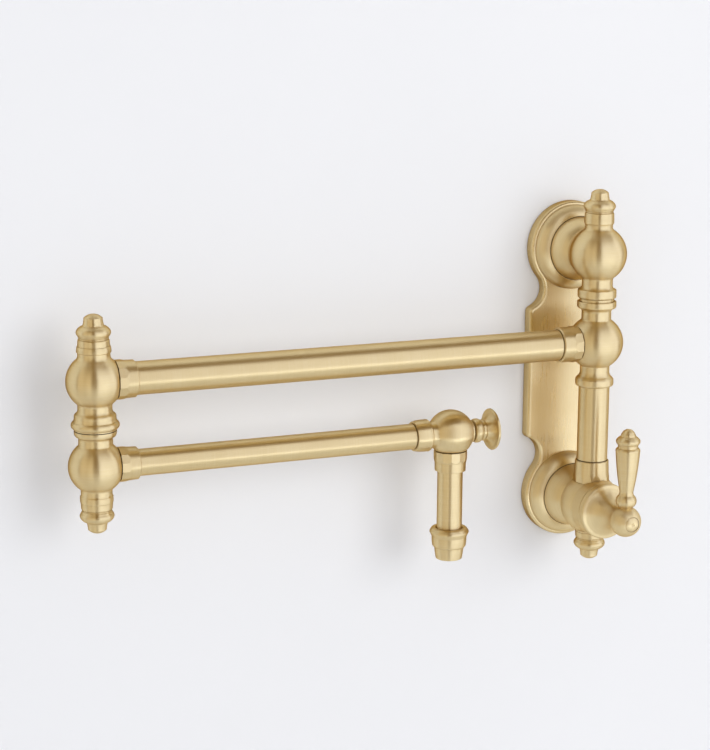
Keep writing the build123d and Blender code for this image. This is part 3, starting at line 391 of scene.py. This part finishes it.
class PotFillerFinish(bpy.types.PropertyGroup):
    """Colours, gloss and brushing of the pot filler"""
    brass: bpy.props.FloatVectorProperty(
        name="Brass", description="Colour of the brushed brass", subtype="COLOR", size=4, min=0, max=1,
        default=(0.82, 0.67, 0.38, 1))
    brass_warm: bpy.props.FloatVectorProperty(
        name="Warm brass", description="Colour of the warmer patches", subtype="COLOR", size=4, min=0, max=1,
        default=(0.79, 0.63, 0.33, 1))
    # Pale brass on the random brushing scratches, and the painted highlight on the edges
    brass_scratch_and_highlight: bpy.props.FloatVectorProperty(
        name="Pale brass", description="Colour on edges and fresh scratches", subtype="COLOR", size=4, min=0, max=1,
        default=(0.90, 0.76, 0.47, 1))
    # Painted shade in corners
    brass_corner_shade: bpy.props.FloatVectorProperty(
        name="Dark brass", description="Colour of the tarnish in corners", subtype="COLOR", size=4, min=0, max=1,
        default=(0.42, 0.25, 0.07, 1))
    # Near-black painted shade in the seams between pieces
    seam_shade: bpy.props.FloatVectorProperty(
        name="Seams", description="Colour of the thin seams between pieces", subtype="COLOR", size=4, min=0, max=1,
        default=(0.07, 0.03, 0.006, 1))
    brass_edge: bpy.props.FloatVectorProperty(
        name="Edge tint", description="Tint of the brass where it turns away", subtype="COLOR", size=4, min=0, max=1,
        default=(0.5, 0.3, 0.1, 1))
    roughness: bpy.props.FloatProperty(
        name="Roughness", description="Gloss of the brushed brass", subtype="FACTOR", min=0, max=1, default=0.37)
    # How strongly the painted shade in corners shows
    corner_shade: bpy.props.FloatProperty(
        name="Tarnish", description="How dark the brass is in corners", subtype="FACTOR", min=0, max=1, default=0.7)
    line_spacing: bpy.props.FloatProperty(
        name="Line spacing", description="Distance between brushing lines", unit="LENGTH", subtype="DISTANCE",
        min=0.00002, default=0.00022, precision=5)
    line_length: bpy.props.FloatProperty(
        name="Line length", description="Length over which a brushing line fades", unit="LENGTH",
        subtype="DISTANCE", min=0.001, default=0.012, precision=4)
    line_depth: bpy.props.FloatProperty(
        name="Line depth", description="Strength of the brushing lines' relief", subtype="FACTOR", min=0, max=1,
        default=0.2)
    # The bevel's radius rounds the edges' shading and also sets the width of the painted edge highlight
    edge_radius: bpy.props.FloatProperty(
        name="Edge radius", description="Size of the polished edges", unit="LENGTH", subtype="DISTANCE",
        min=0, default=0.0004, precision=5)
    # How far the ambient occlusion reaches for the painted shade in corners and seams
    corner_reach: bpy.props.FloatProperty(
        name="Corner reach", description="Width of the darker brass beside a seam", unit="LENGTH",
        subtype="DISTANCE", min=0, default=0.002, precision=4)
    steel: bpy.props.FloatVectorProperty(
        name="Steel", description="Colour of the bracket, pin, clip, screws and mesh", subtype="COLOR", size=4,
        min=0, max=1, default=(0.55, 0.55, 0.56, 1))
    ceramic: bpy.props.FloatVectorProperty(
        name="Ceramic", description="Colour of the valve discs", subtype="COLOR", size=4, min=0, max=1,
        default=(0.82, 0.80, 0.76, 1))
    rubber: bpy.props.FloatVectorProperty(
        name="Rubber", description="Colour of the seals", subtype="COLOR", size=4, min=0, max=1,
        default=(0.025, 0.025, 0.027, 1))
    plastic: bpy.props.FloatVectorProperty(
        name="Plastic", description="Colour of the bushes and the aerator's insert", subtype="COLOR", size=4,
        min=0, max=1, default=(0.70, 0.69, 0.65, 1))
    washer: bpy.props.FloatVectorProperty(
        name="Washer", description="Colour of the elbow's washer", subtype="COLOR", size=4, min=0, max=1,
        default=(0.02, 0.012, 0.006, 1))


class PotFillerStudio(bpy.types.PropertyGroup):
    """Wall, lamps, room and lens"""
    wall: bpy.props.FloatVectorProperty(
        name="Wall", description="Colour of the wall and floor", subtype="COLOR", size=4, min=0, max=1,
        default=(0.84, 0.84, 0.85, 1))
    wall_glow: bpy.props.FloatProperty(
        name="Wall glow", description="Light the wall shows to the camera", min=0, default=0.05)
    right_light: bpy.props.FloatProperty(
        name="Right lamps", description="Brightness of the two lamps on the right", min=0, default=0.99)
    left_light: bpy.props.FloatProperty(
        name="Left lamp", description="Brightness of the large lamp on the left", min=0, default=0.58)
    side_light: bpy.props.FloatProperty(
        name="Side lamp", description="Brightness of the lamp at the far left", min=0, default=0.56)
    wall_light: bpy.props.FloatProperty(
        name="Wall lamp", description="Brightness of the lamp that lights the wall and casts the soft shadows",
        min=0, default=2.9)
    room: bpy.props.FloatProperty(
        name="Room light", description="Strength of the light from all round", min=0, default=0.8)
    shine: bpy.props.FloatProperty(
        name="Room shine", description="Brightness of the room that the metal shows", min=0, max=1, default=0.25)
    sky_tint: bpy.props.FloatVectorProperty(
        name="Light tint", description="Colour of the light from all round", subtype="COLOR", size=4, min=0, max=1,
        default=(0.93, 0.938, 0.966, 1))
    room_tint: bpy.props.FloatVectorProperty(
        name="Room tint", description="Colour of the room that the metal shows", subtype="COLOR", size=4, min=0,
        max=1, default=(1.0, 0.64, 0.22, 1))
    lens: bpy.props.FloatProperty(
        name="Lens", description="Focal length of the camera", unit="CAMERA", subtype="DISTANCE_CAMERA", min=1,
        default=97.05)
    floor_drop: bpy.props.FloatProperty(
        name="Floor drop", description="Distance of the floor below the inlet", unit="LENGTH", subtype="DISTANCE",
        min=0, default=0.9)


# Finishes, piece by piece

def shank_seam_at(rise):
    """The painted shade line in the seam round the shank at this height."""
    return partial(shank_shade_ring, rise=rise, radius=shank_seam, strength=shank_seam_strength)


class POTFILLER_OT_wall_plate(bpy.types.Operator):
    """Brushes the wall plate from top to bottom and the two rosettes round their shanks"""
    bl_idname = "potfiller.wall_plate"
    bl_label = "Wall plate"

    def execute(self, context):
        rises = {"upper_rosette": post_rise, "lower_rosette": 0.0}
        # Painted shade rings round the rosettes' outer edges
        edges = [partial(shank_shade_ring, rise=rise, radius=rosette_edge, strength=rosette_edge_strength)
                 for rise in rises.values()]
        plate = brushed_brass("brass_plate", straight_lines, (0, 0, 0), "Z", plate_brushing, duller=plate_duller,
                              seams=edges)
        merged_copy("backplate", "wall_unit", "X", plate)
        for name, rise in rises.items():
            turned = brushed_brass("brass_" + name, turned_lines, (0, 0, rise), "Y", ring_brushing,
                                   seams=[shank_seam_at(rise)])
            merged_copy(name, "wall_unit", "Y", turned)
        return {"FINISHED"}


class POTFILLER_OT_column(bpy.types.Operator):
    """Brushes the column's pieces round its axis, and the valve's body and the upper shank round their own"""
    bl_idname = "potfiller.column"
    bl_label = "Column"

    def execute(self, context):
        centre = (0, column_out, 0)
        turned = brushed_brass("brass_column", turned_lines, centre, "Z", ring_brushing, quarter_turn)
        dress(turned, "column_finial", "column_hub", "riser_collar", "valve_finial", "riser_spindle")
        riser = brushed_brass("brass_riser", turned_lines, centre, "Z", ring_brushing, quarter_turn,
                              seams=[partial(shade_line, axis="Z", end=riser_line)])
        dress(riser, "riser_tube")
        shank = brushed_brass("brass_shank", turned_lines, (0, 0, post_rise), "Y", seams=[shank_seam_at(post_rise)])
        merged_copy("upper_post", "wall_unit", "Z", turned, centre, shank, lambda middle: middle.y > shank_start)
        valve = brushed_brass("brass_valve", turned_lines, (0, 0, 0), "Y", ring_brushing, seams=[shank_seam_at(0.0)])
        merged_copy("valve_body", "wall_unit", "Y", valve)
        return {"FINISHED"}


class POTFILLER_OT_arms(bpy.types.Operator):
    """Brushes the two arms' tubes and ferrules round their own axes"""
    bl_idname = "potfiller.arms"
    bl_label = "Arms"

    def execute(self, context):
        arms = {
            "long_arm": (long_arm_rise, long_tube_lines, ("long_tube", "column_ferrule", "upper_elbow_ferrule")),
            "short_arm": (short_arm_rise, short_tube_lines, ("short_tube", "lower_elbow_ferrule")),
        }
        for arm, (rise, ends, nodes) in arms.items():
            turned = brushed_brass("brass_" + arm, turned_lines, (0, column_out, rise), "X", tube_brushing,
                                   duller=tube_duller, seams=[partial(shade_line, axis="X", end=end) for end in ends])
            for node in nodes:
                merged_copy(node, arm, "X", turned)
        return {"FINISHED"}


class POTFILLER_OT_elbow(bpy.types.Operator):
    """Brushes the two elbow balls and their caps round the elbow's axis"""
    bl_idname = "potfiller.elbow"
    bl_label = "Elbow"

    def execute(self, context):
        turned = brushed_brass("brass_elbow", turned_lines, (elbow_x, column_out, 0), "Z", ring_brushing,
                               quarter_turn, seams=[partial(shade_line, axis="Z", end=elbow_line)])
        dress(turned, "upper_elbow_hub", "lower_elbow_hub", "elbow_top_finial", "elbow_bottom_finial",
              "elbow_spindle")
        return {"FINISHED"}


class POTFILLER_OT_spout(bpy.types.Operator):
    """Brushes the spout's collar, tube and nozzle round the spout's axis, and its ball round the short arm's"""
    bl_idname = "potfiller.spout"
    bl_label = "Spout"

    def execute(self, context):
        turned = brushed_brass("brass_spout", turned_lines, (spout_x, column_out, 0), "Z", ring_brushing,
                               quarter_turn, seams=[partial(shade_line, axis="Z", end=collar_line)])
        dress(turned, "spout_collar", "spout_tube", "aerator_housing", "aerator_shell")
        ball = brushed_brass("brass_spout_ball", turned_lines, (0, column_out, short_arm_rise), "X", ring_brushing)
        merged_copy("spout_body", "short_arm", "X", ball)
        return {"FINISHED"}


class POTFILLER_OT_lever(bpy.types.Operator):
    """Brushes the lever's bell, button and stem round the valve's axis, and its handle round its own"""
    bl_idname = "potfiller.lever"
    bl_label = "Lever"

    def execute(self, context):
        hub = brushed_brass("brass_lever_hub", turned_lines, (0, 0, 0), "Y", ring_brushing)
        merged_copy("lever_hub", "lever", "Y", hub)
        merged_copy("lever_cap", "lever", "Y", hub)
        dress(hub, "valve_stem", "ceramic_cartridge")
        handle = brushed_brass("brass_lever_handle", turned_lines, (0, handle_out, 0), "Z", ring_brushing,
                               quarter_turn)
        dress(handle, "lever_handle")
        return {"FINISHED"}


class POTFILLER_OT_knob(bpy.types.Operator):
    """Brushes the spout's shut-off knob and stem round their own axis"""
    bl_idname = "potfiller.knob"
    bl_label = "Shut-off knob"

    def execute(self, context):
        turned = brushed_brass("brass_knob", turned_lines, (0, column_out, short_arm_rise), "X", ring_brushing)
        merged_copy("knob", "spout_knob", "X", turned)
        dress(turned, "spout_stem", "spout_cartridge")
        return {"FINISHED"}


class POTFILLER_OT_inner_pieces(bpy.types.Operator):
    """Finishes the steel, ceramic, rubber and plastic pieces"""
    bl_idname = "potfiller.inner_pieces"
    bl_label = "Inner pieces"

    def execute(self, context):
        looks = context.scene.pot_filler_finish
        steels = {
            "steel_bracket": (0.38, (0, 0, post_rise), "Y", ("wall_bracket", "post_set_screw", "lever_screw")),
            "steel_pin": (0.3, (0, column_out, 0), "Z", ("pivot_pin",)),
            "steel_clip": (0.33, (elbow_x, column_out, 0), "Z", ("elbow_clip",)),
            "steel_knob_screw": (0.33, (0, column_out, short_arm_rise), "X", ("knob_screw",)),
            "steel_mesh": (0.36, (spout_x, column_out, 0), "Z", ("aerator_mesh",)),
        }
        for name, (roughness, centre, axis, nodes) in steels.items():
            dress(plain_metal(name, looks.steel[:], roughness, centre, axis), *nodes)
        dress(dull_solid("ceramic_disc", looks.ceramic[:], roughness=0.25, grain=0.0004, depth=0.00001),
              "fixed_disc", "moving_disc", "spout_fixed_disc", "spout_moving_disc")
        dress(dull_solid("rubber_seal", looks.rubber[:], roughness=0.55, grain=0.0003, depth=0.00003),
              "cartridge_seal", "riser_o_rings", "elbow_o_rings", "spout_cartridge_seal", "aerator_washer")
        dress(dull_solid("plastic_bush", looks.plastic[:], roughness=0.42, grain=0.0004, depth=0.00002),
              "riser_bush", "pivot_bush", "aerator_insert")
        dress(dull_solid("plastic_washer", looks.washer[:], roughness=0.5, grain=0.0004, depth=0.00002),
              "elbow_thrust_washer")
        return {"FINISHED"}


# Studio

def one_sided(name, colour, glow):
    """A pale matt surface that is seen from its front only."""
    material, tree = fresh_material(name)
    point = tree.point()
    grain = tree.noise(point, scale=900.0, detail=3.0, roughness=0.6)
    tone = tree.mix(tree.noise(point, scale=3.0).rise(low=0.3, high=0.7), colour, darker(colour, share=0.985))
    bump = tree.node("ShaderNodeBump", sockets={"Strength": 0.05, "Distance": 0.0002, "Height": grain})
    matt = tree.node("ShaderNodeBsdfDiffuse", sockets={"Color": tone, "Normal": bump})
    camera_ray, clear_ray = tree.node("ShaderNodeLightPath", out=("Is Camera Ray", "Is Transmission Ray"))
    light = tree.node("ShaderNodeEmission", sockets={"Color": colour, "Strength": camera_ray.most(clear_ray) * glow})
    front = tree.node("ShaderNodeAddShader", sockets={0: matt, 1: light})
    back = tree.node("ShaderNodeBsdfTransparent")
    behind = tree.node("ShaderNodeNewGeometry", out="Backfacing")
    tree.cover(tree.node("ShaderNodeMixShader", sockets={0: behind, 1: front, 2: back}))
    return material


def stage_sheet(name, material, corners):
    """A flat sheet of the studio, through four corners."""
    mesh = bpy.data.meshes.new(name)
    mesh.from_pydata(corners, [], [(0, 1, 2, 3)])
    mesh.materials.append(material)
    sheet = bpy.data.objects.new(name, mesh)
    bpy.context.scene.collection.objects.link(sheet)


def soft_lamp(name, place, aim, width, height, brightness, tint, on_metal=True):
    """A large soft lamp, as bright to the eye as a matt surface of this brightness.

    It shows either in the metal or on the matt surfaces, so that the wall keeps one even tone.
    """
    lamp = bpy.data.lights.new(name, "AREA")
    lamp.shape = "RECTANGLE"
    lamp.size, lamp.size_y = width, height
    lamp.energy = brightness * math.pi * width * height
    lamp.color = tint
    lamp_object = bpy.data.objects.new(name, lamp)
    lamp_object.location = place
    lamp_object.rotation_euler = (Vector(aim) - Vector(place)).to_track_quat("-Z", "Y").to_euler()
    lamp_object.visible_camera = False
    lamp_object.visible_glossy = on_metal
    lamp_object.visible_diffuse = not on_metal
    bpy.context.scene.collection.objects.link(lamp_object)


class POTFILLER_OT_studio(bpy.types.Operator):
    """Sets up the wall, the floor, the lamps and the camera"""
    bl_idname = "potfiller.studio"
    bl_label = "Studio"

    def execute(self, context):
        studio = context.scene.pot_filler_studio
        pale = one_sided("studio_wall", studio.wall[:], studio.wall_glow)
        side, floor = wall_half_width, -studio.floor_drop
        stage_sheet("studio_wall", pale, [(-side, wall_y, floor), (side, wall_y, floor), (side, wall_y, wall_top),
                                          (-side, wall_y, wall_top)])
        stage_sheet("studio_floor", pale, [(-side, floor_front, floor), (side, floor_front, floor),
                                           (side, wall_y, floor), (-side, wall_y, floor)])

        # Name, place and aim as seen from above, width, brightness and tint
        for name, place, aim, width, brightness, tint in (
            ("right_lamp", (0.74, -1.6), (0.74, 0), 2.36, studio.right_light, cool),
            ("far_right_lamp", (1.9, -0.9), (0, -0.9), 1.3, studio.right_light, cool),
            ("left_lamp", (-1.79, -1.6), (-1.79, 0), 1.26, studio.left_light, warm),
            ("side_lamp", (-2.4, -0.85), (0, -0.85), 1.3, studio.side_light, warm),
        ):
            soft_lamp(name, (*place, lamp_rise), (*aim, lamp_rise), width, lamp_height, brightness, tint)
        soft_lamp("wall_lamp", wall_lamp_place, wall_lamp_aim, wall_lamp_size, wall_lamp_size, studio.wall_light,
                  white, on_metal=False)

        world = bpy.data.worlds.new("studio_room")
        context.scene.world = world
        tree = Tree(world)
        camera_ray, glossy_ray = tree.node("ShaderNodeLightPath", out=("Is Camera Ray", "Is Glossy Ray"))
        strength = camera_ray * (seen_room - studio.room) + glossy_ray * (studio.shine - studio.room) + studio.room
        tint = tree.mix(glossy_ray, studio.sky_tint[:], studio.room_tint[:])
        room = tree.node("ShaderNodeBackground", sockets={"Color": tint, "Strength": strength})
        tree.node("ShaderNodeOutputWorld", sockets={"Surface": room}, out=())

        context.scene.view_settings.view_transform = "Standard"

        turn, lift, roll = (math.radians(angle) for angle in (camera_turn, camera_lift, camera_roll))
        back = Vector((-math.sin(turn) * math.cos(lift), -math.cos(turn) * math.cos(lift), math.sin(lift)))
        level = Vector((math.cos(turn), -math.sin(turn), 0))
        upright = back.cross(level)
        right = level * math.cos(roll) + upright * math.sin(roll)
        up = upright * math.cos(roll) - level * math.sin(roll)
        lens = bpy.data.cameras.new("camera")
        lens.lens = studio.lens
        lens.sensor_width = 36
        lens.sensor_fit = "AUTO"
        lens.clip_start = 0.01
        camera = bpy.data.objects.new("camera", lens)
        camera.matrix_world = Matrix.Translation(camera_place) @ Matrix((right, up, back)).transposed().to_4x4()
        context.scene.collection.objects.link(camera)
        context.scene.camera = camera
        return {"FINISHED"}


steps = (POTFILLER_OT_wall_plate, POTFILLER_OT_column, POTFILLER_OT_arms, POTFILLER_OT_elbow, POTFILLER_OT_spout,
         POTFILLER_OT_lever, POTFILLER_OT_knob, POTFILLER_OT_inner_pieces, POTFILLER_OT_studio)


class POTFILLER_PT_panel(bpy.types.Panel):
    """Lists the pot filler's finishes and its studio"""
    bl_idname = "POTFILLER_PT_panel"
    bl_label = "Pot Filler"
    bl_space_type = "VIEW_3D"
    bl_region_type = "UI"
    bl_category = "Pot Filler"

    def draw(self, context):
        layout = self.layout
        for group in (context.scene.pot_filler_finish, context.scene.pot_filler_studio):
            box = layout.box()
            for name in group.__annotations__:
                box.prop(group, name)
        for step in steps:
            layout.operator(step.bl_idname)


classes = (PotFillerFinish, PotFillerStudio) + steps + (POTFILLER_PT_panel,)


def register():
    for each in classes:
        bpy.utils.register_class(each)
    bpy.types.Scene.pot_filler_finish = bpy.props.PointerProperty(type=PotFillerFinish)
    bpy.types.Scene.pot_filler_studio = bpy.props.PointerProperty(type=PotFillerStudio)


def unregister():
    del bpy.types.Scene.pot_filler_studio
    del bpy.types.Scene.pot_filler_finish
    for each in reversed(classes):
        bpy.utils.unregister_class(each)


def main():
    register()
    for step in steps:
        group, name = step.bl_idname.split(".")
        getattr(getattr(bpy.ops, group), name)()


if __name__ == "__main__":
    main()
